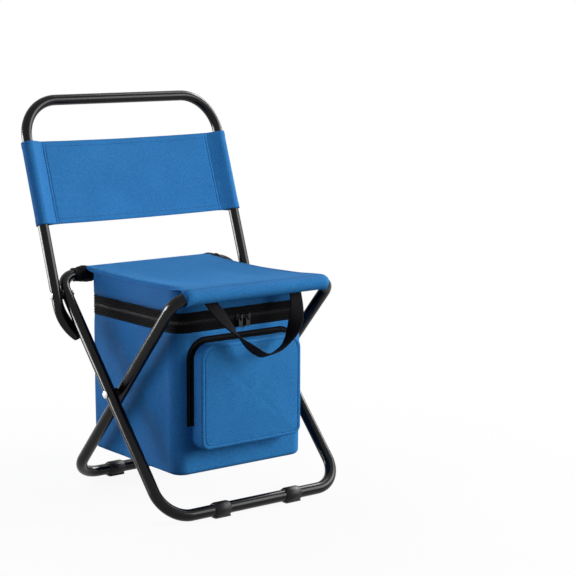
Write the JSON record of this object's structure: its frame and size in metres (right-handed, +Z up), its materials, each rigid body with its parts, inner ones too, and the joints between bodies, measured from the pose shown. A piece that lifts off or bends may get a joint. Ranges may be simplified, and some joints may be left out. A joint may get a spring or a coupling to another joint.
{
  "type": "folding cooler stool",
  "caption": "Folding tube-frame stool with backrest, whose fabric seat is the zipped lid of a soft insulated cooler bag.",
  "frame": {"origin": "middle of the open stool's box, on the floor", "axes": "+Z up, +Y towards the backrest, +X to the right for a person who looks at the stool from the front"},
  "size_m": [0.3548, 0.3672, 0.5507],
  "materials": {
    "frame_paint": "semi-gloss black powder coat",
    "rivet_steel": "bright zinc",
    "black_plastic": "satin moulded",
    "blue_fabric": "coated oxford weave",
    "black_fabric": "woven webbing and zip tape",
    "zip_metal": "black lacquered",
    "foam": "closed-cell foam",
    "foil": "laminated foil"
  },
  "bodies": {
    "rear_legs": {"rear_leg_frame": "frame_paint", "front_seat_bar": "frame_paint", "seat_front_sleeve": "blue_fabric", "scissor_rivet_left": "rivet_steel", "scissor_rivet_right": "rivet_steel", "scissor_spacer_left": "black_plastic", "scissor_spacer_right": "black_plastic", "foot_rear_left": "black_plastic", "foot_rear_right": "black_plastic"},
    "front_legs": {"front_leg_frame": "frame_paint", "rear_seat_bar": "frame_paint", "seat_rear_sleeve": "blue_fabric", "rear_bar_sleeve_left": "black_fabric", "rear_bar_sleeve_right": "black_fabric", "foot_front_left": "black_plastic", "foot_front_right": "black_plastic", "backrest_rivet_left": "rivet_steel", "backrest_rivet_right": "rivet_steel", "backrest_spacer_left": "black_plastic", "backrest_spacer_right": "black_plastic"},
    "backrest": {"backrest_hoop": "frame_paint", "backrest_panel": "blue_fabric"},
    "seat": {"seat_panel": "blue_fabric", "lid_skirt": "blue_fabric", "lid_foam": "foam", "lid_foil": "foil", "lid_zip_upper_tape": "black_fabric", "lid_zip_chain": "zip_metal"},
    "cooler": {"lid_zip_lower_tape": "black_fabric", "cooler_shell": "blue_fabric", "cooler_foam": "foam", "cooler_liner": "foil", "pocket_cover": "blue_fabric", "pocket_zip": "black_fabric"},
    "lid_slider_left": {"lid_zip_slider_left": "zip_metal"},
    "lid_slider_right": {"lid_zip_slider_right": "zip_metal"},
    "lid_pull_left": {"lid_zip_pull_left": "zip_metal"},
    "lid_pull_right": {"lid_zip_pull_right": "zip_metal"},
    "pocket_slider": {"pocket_zip_slider": "zip_metal"},
    "pocket_pull": {"pocket_zip_pull": "zip_metal"},
    "handle": {"carry_handle": "black_fabric"}
  },
  "joints": [
    {"name": "leg_fold", "type": "hinge", "parent": "rear_legs", "child": "front_legs", "pos_m": [0, -0.02352, 0.1555], "axis": [1, 0, 0], "range_deg": [0, 76], "deforming": ["seat_panel", "lid_skirt", "lid_foam", "lid_foil", "lid_zip_upper_tape", "lid_zip_lower_tape", "lid_zip_chain", "cooler_shell", "cooler_foam", "cooler_liner", "pocket_cover", "pocket_zip"]},
    {"name": "seat_follow", "type": "hinge", "parent": "rear_legs", "child": "seat", "pos_m": [0, -0.15285, 0.30051], "axis": [1, 0, 0], "range_deg": [0, 38]},
    {"name": "backrest_fold", "type": "hinge", "parent": "front_legs", "child": "backrest", "pos_m": [0, 0.08584, 0.27812], "axis": [1, 0, 0], "range_deg": [0, 95]},
    {"name": "cooler_drop", "type": "hinge", "parent": "seat", "child": "cooler", "pos_m": [0, 0.08351, 0.27401], "axis": [1, 0, 0], "range_deg": [0, 10]},
    {"name": "handle_swing", "type": "hinge", "parent": "rear_legs", "child": "handle", "pos_m": [0, -0.15285, 0.30051], "axis": [-1, 0, 0], "range_deg": [0, 150], "deforming": ["carry_handle"]},
    {"name": "lid_slider_left_slide", "type": "slide", "parent": "seat", "child": "lid_slider_left", "axis": [-1, 0, 0], "range_m": [0, 0.075]},
    {"name": "lid_pull_left_swing", "type": "hinge", "parent": "lid_slider_left", "child": "lid_pull_left", "pos_m": [-0.0062, -0.12645, 0.26051], "axis": [-1, 0, 0], "range_deg": [0, 90]},
    {"name": "lid_slider_right_slide", "type": "slide", "parent": "seat", "child": "lid_slider_right", "axis": [1, 0, 0], "range_m": [0, 0.075]},
    {"name": "lid_pull_right_swing", "type": "hinge", "parent": "lid_slider_right", "child": "lid_pull_right", "pos_m": [0.0062, -0.12645, 0.26051], "axis": [-1, 0, 0], "range_deg": [0, 90]},
    {"name": "pocket_slider_slide", "type": "slide", "parent": "cooler", "child": "pocket_slider", "axis": [0, 0, 1], "range_m": [0, 0.07]},
    {"name": "pocket_pull_swing", "type": "hinge", "parent": "pocket_slider", "child": "pocket_pull", "pos_m": [0.0873, -0.12665, 0.13201], "axis": [-1, 0, 0], "range_deg": [0, 90]}
  ],
  "couplings": [
    {"joint": "seat_follow", "follows": "leg_fold", "ratio": 0.5}
  ]
}
